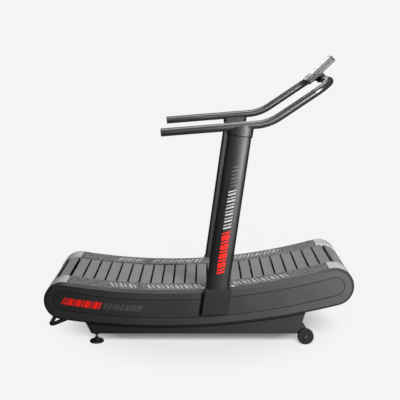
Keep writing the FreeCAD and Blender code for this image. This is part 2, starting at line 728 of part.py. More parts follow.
# ------------------------------------------------------------------ uprights
def oval_prism(long_half, wide_half, start, end):
    """Oval bar along the leaning axis of the left upright, flat on its inner side."""
    oval = Part.Ellipse(V(0, 0, 0), long_half, wide_half).toShape()
    bar = Part.Face(Part.Wire(oval)).extrude(V(0, 0, end - start))
    bar.translate(V(0, 0, start))
    bar.rotate(V(0, 0, 0), ACROSS, LEAN)
    bar.translate(V(UP_X, UP_Y, UP_Z))
    flat = UP_Y - wide_half + UP_FLAT
    return bar.cut(box(UP_X - 300, UP_X + 400, flat - 60, flat, UP_Z - 200, UP_Z + 1200))


def upright():
    end = COLLAR_START + COLLAR_SOCKET
    outer = oval_prism(UP_LONG, UP_WIDE, UP_START, end)
    return outer.cut(oval_prism(UP_LONG - UP_WALL, UP_WIDE - UP_WALL, UP_START, end))


def upright_collar():
    """Sleeve on the upright's top, cut to a saddle under the handlebar."""
    collar = oval_prism(UP_LONG + COLLAR_GROW, UP_WIDE + COLLAR_GROW, COLLAR_START, COLLAR_START + 110)
    collar = collar.cut(oval_prism(UP_LONG, UP_WIDE, COLLAR_START, COLLAR_START + COLLAR_SOCKET))
    above = box(0, 400, UP_Y - 60, UP_Y + 60, 0, 200)
    above.rotate(V(0, 0, 0), ACROSS, -math.degrees(BAR_SLOPE))
    above.translate(V(0, 0, BAR_REAR_Z - BAR_REAR_X * math.tan(BAR_SLOPE) + 2))
    arm = Part.makeCylinder(BAR_RADIUS, 700, V(BAR_REAR_X, UP_Y, BAR_REAR_Z),
                            V(math.cos(BAR_SLOPE), 0, math.sin(BAR_SLOPE)))
    return collar.cut(above).cut(arm)


def upright_bracket():
    """Bevelled socket box outside the casing, with a tongue through it to the side plate."""
    box_outline = bracket_outline(0, BRACKET_INNER, BRACKET_OUTER)
    outer_edges = [edge for edge in box_outline.Edges
                   if edge.BoundBox.YMin > BRACKET_OUTER - 0.1]
    socket = box_outline.makeChamfer(BRACKET_BEVEL, outer_edges)
    tongue = box(TONGUE_X0, TONGUE_X1, PLATE_OUTER, BRACKET_INNER, TONGUE_Z0, TONGUE_Z1)
    tongue = tongue.cut(box(TONGUE_X0 + 5, TONGUE_X1 - 5, PLATE_OUTER + 10, BRACKET_INNER - 6,
                            TONGUE_Z0 - 1, TONGUE_Z1 - 5))
    bracket = socket.fuse(tongue)
    bracket = bracket.cut(oval_prism(UP_LONG + 0.2, UP_WIDE + 0.2, UP_START, 60))
    for x, z in bracket_bolt_places():
        bracket = bracket.cut(rod(5.0, x, z, PLATE_OUTER - 1, PLATE_OUTER + 10))
    return bracket.removeSplitter()


def bracket_bolt_places():
    inset = 20
    return [(x, z) for x in (TONGUE_X0 + inset, TONGUE_X1 - inset)
            for z in (TONGUE_Z0 + inset, TONGUE_Z1 - inset)]


def bracket_bolts():
    bolts = []
    for x, z in bracket_bolt_places():
        bolt = turned_across([(0, PLATE_INNER - 5), (8.5, PLATE_INNER - 5), (8.5, PLATE_INNER),
                              (5, PLATE_INNER), (5, PLATE_OUTER + 10), (8.5, PLATE_OUTER + 10),
                              (8.5, PLATE_OUTER + 17), (0, PLATE_OUTER + 17)], x, z)
        bolts.append(bolt)
    return Part.makeCompound(bolts)


# ------------------------------------------------------------------ handlebar
def bar_path():
    points = [V(BAR_REAR_X, -UP_Y, BAR_REAR_Z), V(BAR_KNEE_X, -UP_Y, BAR_KNEE_Z),
              V(BAR_FRONT_X, -UP_Y, BAR_FRONT_Z), V(BAR_FRONT_X, UP_Y, BAR_FRONT_Z),
              V(BAR_KNEE_X, UP_Y, BAR_KNEE_Z), V(BAR_REAR_X, UP_Y, BAR_REAR_Z)]
    radii = [0, BAR_KNEE_RADIUS, BAR_CORNER_RADIUS, BAR_CORNER_RADIUS, BAR_KNEE_RADIUS, 0]
    return rounded_path(points, radii)


def handlebar():
    path = bar_path()
    return round_pipe(path, BAR_RADIUS).cut(round_pipe(path, BAR_RADIUS - BAR_WALL))


def handlebar_plug():
    plug = turned([(0, -PLUG_RIM), (BAR_RADIUS - 2, -PLUG_RIM), (BAR_RADIUS, 1 - PLUG_RIM), (BAR_RADIUS, 0),
                   (BAR_RADIUS - BAR_WALL, 0), (BAR_RADIUS - BAR_WALL, PLUG_DEPTH), (0, PLUG_DEPTH)], 0, 0)
    plug.rotate(V(0, 0, 0), ACROSS, 90 - math.degrees(BAR_SLOPE))
    plug.translate(V(BAR_REAR_X, UP_Y, BAR_REAR_Z))
    return plug


# ------------------------------------------------------------------ console
def on_console(shape):
    """Move a piece from the console's own frame to its place on the machine."""
    shape = shape.copy()
    shape.rotate(V(0, 0, 0), ACROSS, -CONSOLE_TILT)
    shape.translate(V(CONSOLE_X, 0, CONSOLE_Z))
    return shape


def console_block(z0, z1, inset):
    half = CONSOLE_LONG / 2 - inset
    return rounded_block(-half, half, CONSOLE_WIDE - 2 * inset, z0, z1, CONSOLE_CORNER - inset)


def console_back():
    """Tray that holds the electronics, open under the front shell."""
    tray = console_block(-CONSOLE_HALF, CONSOLE_SEAM, 0)
    lower = [edge for edge in tray.Edges if edge.BoundBox.ZMax < 0.1 - CONSOLE_HALF]
    tray = tray.makeChamfer(3.0, lower)
    return on_console(tray.cut(console_block(CONSOLE_WALL - CONSOLE_HALF, CONSOLE_SEAM, CONSOLE_WALL)))


def button_blank(index, grow, z0, z1):
    blank = rounded_block(BUTTON_X - BUTTON_LONG / 2 - grow, BUTTON_X + BUTTON_LONG / 2 + grow,
                          BUTTON_WIDE + 2 * grow, z0, z1, 4.0 + grow)
    blank.translate(V(0, (index - 1) * BUTTON_PITCH, 0))
    return blank


def console_front():
    """Bezel with a window recess and three button openings."""
    bezel = console_block(CONSOLE_SEAM, CONSOLE_HALF, 0)
    upper = [edge for edge in bezel.Edges if edge.BoundBox.ZMin > CONSOLE_HALF - 0.1]
    bezel = bezel.makeChamfer(2.0, upper)
    bezel = bezel.cut(console_block(CONSOLE_SEAM, CONSOLE_HALF - 2 * CONSOLE_WALL, CONSOLE_WALL))
    bezel = bezel.cut(rounded_block(WINDOW_X0, WINDOW_X1, WINDOW_WIDE, CONSOLE_HALF - WINDOW_THICK,
                                    CONSOLE_HALF + 1, 8.0))
    for index in range(3):
        bezel = bezel.cut(button_blank(index, BUTTON_GAP, CONSOLE_SEAM, CONSOLE_HALF + 1))
    return on_console(bezel)


def console_window():
    return on_console(rounded_block(WINDOW_X0, WINDOW_X1, WINDOW_WIDE, CONSOLE_HALF - WINDOW_THICK,
                                    CONSOLE_HALF, 8.0))


def button(index):
    key = button_blank(index, 0, BUTTON_FOOT, CONSOLE_HALF + BUTTON_PROUD)
    upper = [edge for edge in key.Edges if edge.BoundBox.ZMin > CONSOLE_HALF + BUTTON_PROUD - 0.1]
    return on_console(key.makeFillet(1.0, upper))


def console_bracket():
    """Saddle that clamps the crossbar and carries the console."""
    block = rounded_block(-52, 4, 74, -CONSOLE_HALF - 34, -CONSOLE_HALF, 8.0)
    bar = rod(BAR_RADIUS, BAR_FRONT_X, BAR_FRONT_Z, -60, 60)
    return on_console(block).cut(bar)


# ------------------------------------------------------------------ all the pieces
def build():
    (rear_x, rear_z), (front_x, front_z) = drum_centres()
    nodes = {}

    def pair(name, shape):
        nodes[name + "_left"] = shape
        nodes[name + "_right"] = mirrored(shape)

    pair("base_frame", base_frame())
    nodes["cross_member_rear"] = cross_member(CROSS_REAR_X)
    nodes["cross_member_front"] = cross_member(CROSS_FRONT_X)
    pair("side_plate", side_plate())
    pair("side_casing", side_casing())
    pair("side_panel", side_panel())
    pair("foot_rail", foot_rail())
    pair("grip_strip", grip_strip())
    pair("rail_cap_front", rail_cap(FRONT_ANGLE))
    pair("rail_cap_rear", rail_cap(REAR_ANGLE))
    nodes["tread_slats"] = tread_slats()
    nodes["slat_bolts"] = slat_bolts()
    pair("carrier_belt", carrier_belt())
    nodes["front_drum"] = drum(front_x, front_z)
    nodes["rear_drum"] = drum(rear_x, rear_z)
    nodes["front_drum_bearings"] = drum_bearings(front_x, front_z)
    nodes["rear_drum_bearings"] = drum_bearings(rear_x, rear_z)
    nodes["drum_axles"] = drum_axles()
    nodes["axle_blocks"] = axle_blocks()
    for station, (x, z) in enumerate(roller_centres(), start=1):
        nodes["support_rollers_%d" % station] = roller_pair(x, z)
    nodes["roller_bolts"] = roller_bolts()
    pair("foot_pad", foot_pad())
    pair("foot_stud", foot_stud())
    nodes["foot_locknuts"] = both_sides(foot_locknut())
    pair("wheel", wheel())
    nodes["wheel_brackets"] = both_sides(wheel_bracket())
    nodes["wheel_bolts"] = both_sides(wheel_bolt())
    nodes["lift_handle"] = lift_handle()
    pair("upright", upright())
    pair("upright_bracket", upright_bracket())
    pair("upright_collar", upright_collar())
    nodes["bracket_bolts"] = both_sides(bracket_bolts())
    nodes["handlebar"] = handlebar()
    nodes["handlebar_plugs"] = both_sides(handlebar_plug())
    nodes["console_bracket"] = console_bracket()
    nodes["console_back"] = console_back()
    nodes["console_front"] = console_front()
    nodes["console_window"] = console_window()
    for index, name in enumerate(("right", "middle", "left")):
        nodes["button_" + name] = button(index)
    return nodes


def main():
    os.makedirs("parts", exist_ok=True)
    total = 0.0
    for name, shape in build().items():
        shape.exportStep("parts/%s.step" % name)
        total += shape.Volume
        print("%-24s %2d solids %12.0f mm3  valid %s"
              % (name, len(shape.Solids), shape.Volume, shape.isValid()))
    print("total volume %.0f mm3" % total)


main()
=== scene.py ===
"""Looks of a curved manual treadmill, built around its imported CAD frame.

Metres throughout. +X is the front (console end), +Y the runner's left, +Z up.
Right-hand pieces are mirror images of left-hand ones.
"""
import json
import math

import bmesh
import bpy
from mathutils import Matrix, Vector


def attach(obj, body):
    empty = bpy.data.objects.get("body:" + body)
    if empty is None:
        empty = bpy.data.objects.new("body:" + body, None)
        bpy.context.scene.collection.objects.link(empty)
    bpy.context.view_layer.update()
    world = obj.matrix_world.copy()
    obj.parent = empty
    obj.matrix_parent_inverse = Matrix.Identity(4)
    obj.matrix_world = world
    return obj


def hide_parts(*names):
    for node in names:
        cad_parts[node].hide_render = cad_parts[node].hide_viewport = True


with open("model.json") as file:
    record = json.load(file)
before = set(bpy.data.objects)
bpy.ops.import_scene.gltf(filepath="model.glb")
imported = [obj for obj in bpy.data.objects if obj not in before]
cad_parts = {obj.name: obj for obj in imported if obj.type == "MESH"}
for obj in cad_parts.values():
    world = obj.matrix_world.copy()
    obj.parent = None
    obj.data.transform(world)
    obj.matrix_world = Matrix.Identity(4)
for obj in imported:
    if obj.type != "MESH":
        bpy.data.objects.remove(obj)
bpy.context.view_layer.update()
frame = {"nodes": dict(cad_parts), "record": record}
scene = bpy.context.scene
SIDES = (("left", 1), ("right", -1))

# ---- long arcs of the two sides: circles about (x, z), with angles from straight down
ARC_CENTRE = (-0.186, 3.776)
DECK_RADIUS = 3.450             # top of the foot rails
MID_RADIUS = 3.562              # middle line of the belt loop
NOSE_X = 0.777                  # where that line ends and the noses begin, front and rear
PANEL_MIDDLE = 3.557            # middle line of the side panels
PANEL_NOSE_X = 0.7795           # where that line ends and the panels' round ends begin
GROOVE_MIDDLE = 0.05275         # half height of the line down the middle of the panel's groove
CASING_OUTER = 0.385            # outer face of the side panels

UNDER_CENTRE = (-0.2056, 4.1456)
UNDER_RADIUS = 4.036            # underside of the casings, flatter than the deck

# ---- slat belt; heights are out from the loop that the slats' feet follow
SLAT_COUNT = 55
SLAT_PHASE = 0.58               # place of the first slat, in pitches from the loop's start
SLAT_BASE = 0.0913              # from the loop's middle line to the slats' feet
SLAT_HALF = 0.0296              # half length of a core along the belt
TREAD_HALF = 0.0283             # half length of a tread
SLAT_END = 0.216                # half width of the belt
SLAT_CORE = 0.0144              # height of the rigid core around the tread
NOSE_CORE = 0.0060              # the same where the slats go round the front nose
NOSE_REACH = 0.09               # how far before NOSE_X that begins
SLAT_TOP = 0.0160               # height of the tread

# ---- uprights: oval tubes that lean forward; UP_X, UP_Y, UP_Z is a point on the left axis
LEAN = math.radians(7.9)
UP_X = 0.1055
UP_Y = 0.389
UP_Z = 0.346
UP_LONG = 0.0665                # half length of the oval, front to rear
UP_WIDE = 0.021                 # half width of the oval
UP_FLAT = 0.009                 # depth of the flat on the oval's inner side
COLLAR_START = 0.879            # from that point up to the collar's lower edge

# ---- feet and wheels
FOOT_X = -0.596
FOOT_Y = 0.318
WHEEL_X = 0.618
WHEEL_Z = 0.047
WHEEL_FACE = 0.372              # outer side of the wheel

# ---- console, in its own frame: x up the slope, y across, z out of the face
CONSOLE_TILT = math.radians(44)
CONSOLE_PLACE = Vector((0.7062, 0.0, 1.562))
CONSOLE_LONG = 0.204
CONSOLE_WIDE = 0.162
CONSOLE_CORNER = 0.014
CONSOLE_SEAM = 0.002            # z of the joint between the two shells
CONSOLE_WINDOW = 0.0182         # z of the window's face
CONSOLE_BUTTONS = 0.0198        # z of the buttons' faces

# ---- thin plates that stand for print: how far they go into the surface and stand out of it
SUNK = -0.0001
PROUD = 0.0002

# ---- studio
PAGE = 0.913                    # brightness of the page behind and under the object
BOUNCE = 0.065                  # brightness that reaches the object from there


def grey(value, warmth=0.0):
    return (value * (1 + warmth), value, value * (1 - warmth))


# ------------------------------------------------------------------ material nodes
class Paint:
    """One material, with short calls for the nodes that its colour, gloss and relief need."""

    def __init__(self, name):
        self.material = bpy.data.materials.new(name)
        self.material.use_nodes = True
        self.tree = self.material.node_tree
        self.shader = self.tree.nodes["Principled BSDF"]
        self.place = self.tree.nodes.new("ShaderNodeTexCoord").outputs["Object"]

    def add(self, kind, **settings):
        made = self.tree.nodes.new(kind)
        for key, value in settings.items():
            setattr(made, key, value)
        return made

    def link(self, source, socket):
        self.tree.links.new(source, socket)

    def put(self, socket, value):
        """Links an output, or sets a plain number or colour."""
        if isinstance(value, bpy.types.NodeSocket):
            self.link(value, socket)
        else:
            socket.default_value = value

    def stretched(self, stretch):
        scaled = self.add("ShaderNodeVectorMath", operation="MULTIPLY")
        self.link(self.place, scaled.inputs[0])
        scaled.inputs[1].default_value = stretch
        return scaled.outputs["Vector"]

    def noise(self, scale, detail=3.0, stretch=None):
        made = self.add("ShaderNodeTexNoise")
        self.link(self.stretched(stretch) if stretch else self.place, made.inputs["Vector"])
        made.inputs["Scale"].default_value = scale
        made.inputs["Detail"].default_value = detail
        return made.outputs["Fac"]

    def cells(self, scale):
        made = self.add("ShaderNodeTexVoronoi")
        self.link(self.place, made.inputs["Vector"])
        made.inputs["Scale"].default_value = scale
        return made.outputs["Distance"]

    def remap(self, value, low, high, to_low=0.0, to_high=1.0):
        made = self.add("ShaderNodeMapRange")
        self.link(value, made.inputs["Value"])
        made.inputs["From Min"].default_value = low
        made.inputs["From Max"].default_value = high
        made.inputs["To Min"].default_value = to_low
        made.inputs["To Max"].default_value = to_high
        return made.outputs["Result"]

    def math(self, operation, first, second):
        made = self.add("ShaderNodeMath", operation=operation)
        self.put(made.inputs[0], first)
        self.put(made.inputs[1], second)
        return made.outputs["Value"]

    def blend(self, factor, first, second):
        """Mixes two colours, each a plain triple or an output."""
        made = self.add("ShaderNodeMix", data_type="RGBA")
        self.put(made.inputs["Factor"], factor)
        for socket, value in zip(made.inputs[6:8], (first, second)):
            plain = not isinstance(value, bpy.types.NodeSocket)
            self.put(socket, (*value, 1.0) if plain else value)
        return made.outputs[2]

    def edges(self, radius):
        """1 on edges sharper than the radius can follow, 0 on the faces between them."""
        dot = self.add("ShaderNodeVectorMath", operation="DOT_PRODUCT")
        self.link(self.rounded(radius), dot.inputs[0])
        self.link(self.add("ShaderNodeNewGeometry").outputs["Normal"], dot.inputs[1])
        return self.remap(dot.outputs["Value"], 0.99, 0.86)

    def rounded(self, radius):
        """Normal of the surface with its edges rounded."""
        made = self.add("ShaderNodeBevel", samples=4)
        made.inputs["Radius"].default_value = radius
        return made.outputs["Normal"]

    def relief(self, height, depth, edge=0.0):
        made = self.add("ShaderNodeBump")
        made.inputs["Distance"].default_value = depth
        made.inputs["Strength"].default_value = 1.0
        self.link(height, made.inputs["Height"])
        if edge:
            self.link(self.rounded(edge), made.inputs["Normal"])
        self.link(made.outputs["Normal"], self.shader.inputs["Normal"])

    def finish(self, colour, roughness, metallic=0.0, specular=0.5, coat=0.0, coat_roughness=0.1):
        self.put(self.shader.inputs["Base Color"], colour)
        self.put(self.shader.inputs["Roughness"], roughness)
        self.shader.inputs["Metallic"].default_value = metallic
        self.shader.inputs["Specular IOR Level"].default_value = specular
        self.shader.inputs["Coat Weight"].default_value = coat
        self.shader.inputs["Coat Roughness"].default_value = coat_roughness
        return self.material


# In the recipes below, shade is the base colour's grey, rough the mean roughness, grain and
# pebble the scale of the fine noise, depth the height of its relief, and edge the radius to
# which edges are shaded round.
def moulded_plastic(name, shade, rough, worn, specular=0.35, grain=1400, depth=0.00006,
                    edge=0.0012):
    """Fine spark-eroded grain, cloudy gloss, and edges lightened to the worn shade: partly rubbed
    wear, partly a painted edge highlight.
    """
    p = Paint(name)
    cloud = p.noise(5.0, 4.0)
    skin = p.noise(grain, 2.0)
    body = p.blend(cloud, grey(shade * 0.86), grey(shade * 1.14))
    body = p.blend(p.remap(skin, 0.35, 0.7, 0.0, 0.35), body, grey(shade * 1.5))
    patch = p.remap(p.noise(60.0), 0.35, 0.7, 0.15, 0.8)
    # painted edge highlight and wear: edges lightened towards the worn shade
    body = p.blend(p.math("MULTIPLY", p.edges(0.0012), patch), body, grey(worn))
    p.relief(skin, depth, edge)
    gloss = p.remap(cloud, 0.3, 0.7, rough - 0.05, rough + 0.07)
    return p.finish(body, gloss, specular=specular)


def powder_coat(name, shade, rough, specular=0.4, coat=0.0, coat_roughness=0.15, chip_and_highlight=0.12,
                pebble=700, depth=0.00005, metallic=0.0, edge=0.001, flake=0.25):
    """Pebbled paint over steel with fine bright flakes, and edges lightened to the chip shade:
    partly chipped wear, partly a painted edge highlight.
    """
    p = Paint(name)
    cloud = p.noise(4.0, 3.0)
    peel = p.noise(pebble, 2.0)
    speck = p.remap(p.cells(1900), 0.0, 0.12, flake, 0.0)
    body = p.blend(cloud, grey(shade * 0.85), grey(shade * 1.15))
    body = p.blend(speck, body, grey(shade * 3.0))
    patch = p.remap(p.noise(45.0), 0.4, 0.7, 0.05, 0.6)
    # painted edge highlight and wear: edges lightened towards the chip shade
    body = p.blend(p.math("MULTIPLY", p.edges(0.001), patch), body, grey(chip_and_highlight))
    p.relief(peel, depth, edge)
    gloss = p.remap(cloud, 0.3, 0.7, rough - 0.04, rough + 0.06)
    return p.finish(body, gloss, metallic=metallic, specular=specular, coat=coat,
                    coat_roughness=coat_roughness)


def brushed_metal(name, shade, rough, stretch):
    """Plated steel with fine lines along one direction and a little tarnish."""
    p = Paint(name)
    lines = p.noise(900.0, 3.0, stretch)
    cloud = p.noise(25.0, 4.0)
    body = p.blend(lines, grey(shade * 0.75), grey(shade * 1.15))
    body = p.blend(p.remap(cloud, 0.5, 0.8, 0.0, 0.5), body, grey(shade * 0.55, 0.06))
    p.relief(lines, 0.00003, 0.0006)
    return p.finish(body, p.remap(lines, 0.3, 0.7, rough - 0.08, rough + 0.12), metallic=1.0)


def rubber(name, shade, rough, grain, depth, specular=0.3, stretch=None, dust=0.0, mottle=0.0):
    """Matt rubber: a grain, drawn out along the mould where it is stretched, dust in patches,
    and dark mottling."""
    p = Paint(name)
    skin = p.noise(grain, 3.0, stretch)
    patch = p.noise(9.0, 4.0)
    body = p.blend(p.remap(skin, 0.3, 0.7), grey(shade * 0.72), grey(shade * 1.28))
    body = p.blend(p.remap(patch, 0.45, 0.75, 0.0, dust), body, grey(shade * 1.5, 0.02))
    if mottle:
        dark = p.remap(p.noise(230.0, 2.0), 0.38, 0.62, 0.0, mottle)
        body = p.blend(dark, body, grey(shade * 0.4))
    p.relief(skin, depth, 0.001)
    gloss = p.remap(patch, 0.3, 0.7, rough - 0.05, rough + 0.05)
    return p.finish(body, gloss, specular=specular)


def grit_strip(name):
    """Anti-slip sheet: packed mineral grains, some of them bright."""
    p = Paint(name)
    grains = p.cells(900)
    patch = p.noise(75.0, 5.0)
    bright = p.remap(p.cells(520), 0.05, 0.16, 0.6, 0.0)
    body = p.blend(p.remap(grains, 0.1, 0.6), grey(0.12), grey(0.04))
    body = p.blend(p.remap(patch, 0.42, 0.62), body, grey(0.20))
    body = p.blend(bright, body, grey(0.42))
    p.relief(p.math("MULTIPLY", grains, -1.0), 0.0006)
    return p.finish(body, 0.78, specular=0.35)


def printed(name, colour, worn=0.35, rough=0.5, specular=0.35, depth=0.00003):
    """Screen-printed ink, cloudy and with worn pinholes."""
    p = Paint(name)
    pin = p.remap(p.cells(1500), 0.02, 0.16, worn, 0.0)
    cloud = p.noise(60.0, 4.0)
    shaded = tuple(c * 0.78 for c in colour)
    body = p.blend(cloud, shaded, colour)
    body = p.blend(pin, body, grey(0.06))
    p.relief(p.noise(1100.0), depth)
    gloss = p.remap(cloud, 0.3, 0.7, rough - 0.06, rough + 0.08)
    return p.finish(body, gloss, specular=specular)


def dark_glass(name):
    """Tinted acrylic with faint wipe marks."""
    p = Paint(name)
    wipe = p.noise(14.0, 5.0, (1.0, 4.0, 1.0))
    body = p.blend(wipe, grey(0.010), grey(0.018))
    p.relief(wipe, 0.00001, 0.0006)
    gloss = p.remap(wipe, 0.35, 0.7, 0.06, 0.16)
    return p.finish(body, gloss, specular=0.5, coat=0.5, coat_roughness=0.05)


MATERIALS = {
    "casing": moulded_plastic("casing_plastic", 0.020, 0.46, 0.09, specular=0.40),
    "side_panel": moulded_plastic("side_panel_plastic", 0.018, 0.43, 0.08, specular=0.40),
    "foot_rail": moulded_plastic("foot_rail_plastic", 0.088, 0.50, 0.22, specular=0.2),
    "grip_strip": grit_strip("grip_grit"),
    "rail_cap": moulded_plastic("rail_cap_plastic", 0.37, 0.50, 0.50, grain=700, depth=0.00015),
    "slat": rubber("slat_rubber", 0.24, 0.74, 1000.0, 0.00025, stretch=(1.0, 0.06, 1.0),
                   dust=0.2, mottle=0.6),
    "belt": rubber("belt_rubber", 0.02, 0.70, 500.0, 0.0002, stretch=(1.0, 0.2, 1.0)),
    "frame_paint": powder_coat("frame_powder", 0.012, 0.50, specular=0.24),
    "upright_paint": powder_coat("upright_gloss", 0.004, 0.38, specular=0.5, coat=0.15,
                                 coat_roughness=0.22, chip_and_highlight=0.07, pebble=420, depth=0.00002),
    "bar_paint": powder_coat("bar_powder", 0.085, 0.34, specular=0.5, metallic=0.8,
                             depth=0.000002, edge=0.0, flake=0.04),
    "plug": moulded_plastic("plug_plastic", 0.018, 0.55, 0.06),
    "steel": brushed_metal("zinc_steel", 0.55, 0.34, (1.0, 1.0, 0.1)),
    "black_oxide": powder_coat("black_oxide", 0.022, 0.42),
    "roller": rubber("roller_rubber", 0.04, 0.62, 800.0, 0.0001),
    "wheel": rubber("wheel_rubber", 0.011, 0.66, 700.0, 0.00015, specular=0.12, dust=0.3),
    "foot": rubber("foot_rubber", 0.014, 0.45, 700.0, 0.0001, specular=0.5),
    "console_shell": moulded_plastic("console_plastic", 0.07, 0.45, 0.15, depth=0.000004,
                                     edge=0.0),
    "window": dark_glass("console_acrylic"),
    "button": rubber("button_silicone", 0.16, 0.5, 900.0, 0.00005),
}
RED_INK = printed("red_ink", (1.0, 0.014, 0.007), worn=0.08, specular=0.15)
PALE_INK = printed("pale_ink", grey(0.40), worn=0.3)
FINE_INK = printed("fine_ink", grey(0.16, 0.05))
RAIL_INK = printed("rail_ink", grey(0.48), worn=0.85, rough=0.7)
DISPLAY_INK = printed("display_segments", (0.10, 0.12, 0.10), worn=0.05, rough=0.14,
                      depth=0.000002)
# Near-black and almost unreflective: painted shade in the gaps between the treads.
SLAT_CORE_SHADE_PLASTIC = moulded_plastic("slat_core_shade_plastic", 0.003, 0.7, 0.006, specular=0.05)
# Near-black rubber with little gloss: real seals on the collars and console, and painted shade in
# the panel grooves and under the casings.
SEAL_AND_SHADE_RUBBER = rubber("seal_and_shade_rubber", 0.003, 0.75, 500.0, 0.0001, specular=0.08)

for part in frame["record"]["subparts"]:
    mesh = frame["nodes"][part["node"]].data
    mesh.materials.clear()
    mesh.materials.append(MATERIALS[part["material_slot"]])


# ------------------------------------------------------------------ mesh pieces
def piece(name, bm, material, slot, body="root"):
    bmesh.ops.recalc_face_normals(bm, faces=bm.faces)
    mesh = bpy.data.meshes.new(name)
    bm.to_mesh(mesh)
    bm.free()
    mesh.materials.append(material)
    made = bpy.data.objects.new(name, mesh)
    scene.collection.objects.link(made)
    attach(made, body)
    return made


def tube(bm, sections, closed=False):
    """Skins a row of equal closed loops of points; open rows get end faces."""
    loops = [[bm.verts.new(point) for point in section] for section in sections]
    count = len(loops[0])
    for i in range(len(loops) if closed else len(loops) - 1):
        here, there = loops[i], loops[(i + 1) % len(loops)]
        for j in range(count):
            k = (j + 1) % count
            bm.faces.new((here[j], here[k], there[k], there[j]))
    if not closed:
        bm.faces.new(loops[0])
        bm.faces.new(loops[-1])


def tube_piece(name, sections, material, slot, closed=False):
    """A piece of the root body that is one skinned row of loops."""
    bm = bmesh.new()
    tube(bm, sections, closed)
    return piece(name, bm, material, slot)


def circle(count):
    return [2 * math.pi * k / count for k in range(count)]


def lathe(bm, profile, place, segments=32):
    """Solid of revolution from (radius, height) points; place(x, y, height) sets each point."""
    tube(bm, [[place(radius * math.cos(t), radius * math.sin(t), height) for t in circle(segments)]
              for radius, height in profile])


def bar(bm, place, along, across, slant=0.0, steps=6):
    """Thin slanted plate on a curved surface, between two values along it and two across it."""
    sections = []
    for k in range(steps + 1):
        b = across[0] + (across[1] - across[0]) * k / steps
        shift = slant * (b - across[0])
        sections.append([place(along[0] + shift, b, SUNK), place(along[1] + shift, b, SUNK),
                         place(along[1] + shift, b, PROUD), place(along[0] + shift, b, PROUD)])
    tube(bm, sections)


# ------------------------------------------------------------------ points on the CAD shapes
def arc_angle(x, radius, centre=ARC_CENTRE):
    return math.asin((x - centre[0]) / radius)


def arc_point(radius, angle, y=0.0, centre=ARC_CENTRE):
    return Vector((centre[0] + radius * math.sin(angle), y,
                   centre[1] - radius * math.cos(angle)))


def nose_point(end, radius, turn, middle=MID_RADIUS):
    """Point on the round end of a loop; turn is 0 at its top and pi at its bottom."""
    up = Vector((-math.sin(end), 0.0, math.cos(end)))
    out = Vector((math.cos(end), 0.0, math.sin(end))) * math.copysign(1.0, end)
    return arc_point(middle, end) + up * (radius * math.cos(turn)) + out * (radius * math.sin(turn))


def upright_point(side, t, b, off):
    """t up along the upright's axis, b to the front of it, and off outward from it."""
    return Vector((UP_X + b * math.cos(LEAN) + t * math.sin(LEAN), side * (UP_Y + off),
                   UP_Z - b * math.sin(LEAN) + t * math.cos(LEAN)))


def on_panel(side):
    """x along the panel, b up from its middle line, and lift out of its face."""
    def place(x, b, lift):
        return arc_point(PANEL_MIDDLE - b, arc_angle(x, PANEL_MIDDLE),
                         side * (CASING_OUTER + lift))
    return place


def on_rail(side):
    """x along the rail, b outward from the middle plane, and lift off the grip strip."""
    def place(x, b, lift):
        return arc_point(DECK_RADIUS - lift, arc_angle(x, DECK_RADIUS), side * b)
    return place


def on_upright(side):
    """t up along the upright, b to the front from its axis, and lift off its outer face."""
    def place(t, b, lift):
        bulge = (UP_WIDE + lift) * math.sqrt(1 - (b / (UP_LONG + lift)) ** 2)
        return upright_point(side, t, b, bulge)
    return place


def on_console(face):
    """x up the slope, y across, and lift above the given face of the console."""
    ahead = Vector((math.cos(CONSOLE_TILT), 0.0, math.sin(CONSOLE_TILT)))
    out = Vector((-math.sin(CONSOLE_TILT), 0.0, math.cos(CONSOLE_TILT)))

    def place(x, y, lift):
        return CONSOLE_PLACE + ahead * x + Vector((0.0, y, 0.0)) + out * (face + lift)
    return place


# ------------------------------------------------------------------ printed stripes
def stripes(bm, place, start, pitch, widths, across, slant):
    """Row of slanted stripes at an even pitch; a width of 0 leaves a gap."""
    for index, width in enumerate(widths):
        if width:
            left = start + index * pitch
            bar(bm, place, (left, left + width), across, slant)


def printed_stripes():
    """Plain slanted stripes on the side panels, the uprights and the foot rails."""
    bold = [0.0085, 0.0085, 0.0150] * 4 + [0.0085, 0.0085]
    word = [0.0130, 0.0080]
    upright_across = (-0.017, 0.025)
    rail_across = (0.262, 0.332)
    for name, side in SIDES:
        panel, upright, rail = on_panel(side), on_upright(side), on_rail(side)
        # each row: start, pitch, widths, extent across, slant
        for label, slot, ink, place, rows in (
                ("panel_stripes_bold", "side_panel", RED_INK, panel,
                 [(-0.785, 0.0160, bold, (-0.021, 0.020), 0.35)]),
                ("panel_stripes_fine", "side_panel", FINE_INK, panel,
                 [(-0.545, 0.0160, [0.0035, 0.0022] * 7, (-0.019, 0.018), 0.35)]),
                ("upright_stripes_bold", "upright_paint", RED_INK, upright,
                 [(0.084, 0.0178, bold, upright_across, 0.42)]),
                ("upright_stripes_pale", "upright_paint", PALE_INK, upright,
                 [(0.345, 0.0192, [0.0095, 0.0060] * 6, upright_across, 0.42)]),
                ("upright_stripes_fine", "upright_paint", FINE_INK, upright,
                 [(0.590, 0.0210, [0.0040, 0.0028] * 3, (-0.013, 0.023), 0.42)]),
                ("rail_stripes", "grip_strip", RAIL_INK, rail,
                 [(-0.520, 0.0270, word * 3 + [0, 0] + word * 6, rail_across, 0.28),
                  (0.195, 0.0270, word * 6, rail_across, 0.28)])):
            bm = bmesh.new()
            for row in rows:
                stripes(bm, place, *row)
            piece(label + "_" + name, bm, ink, slot)


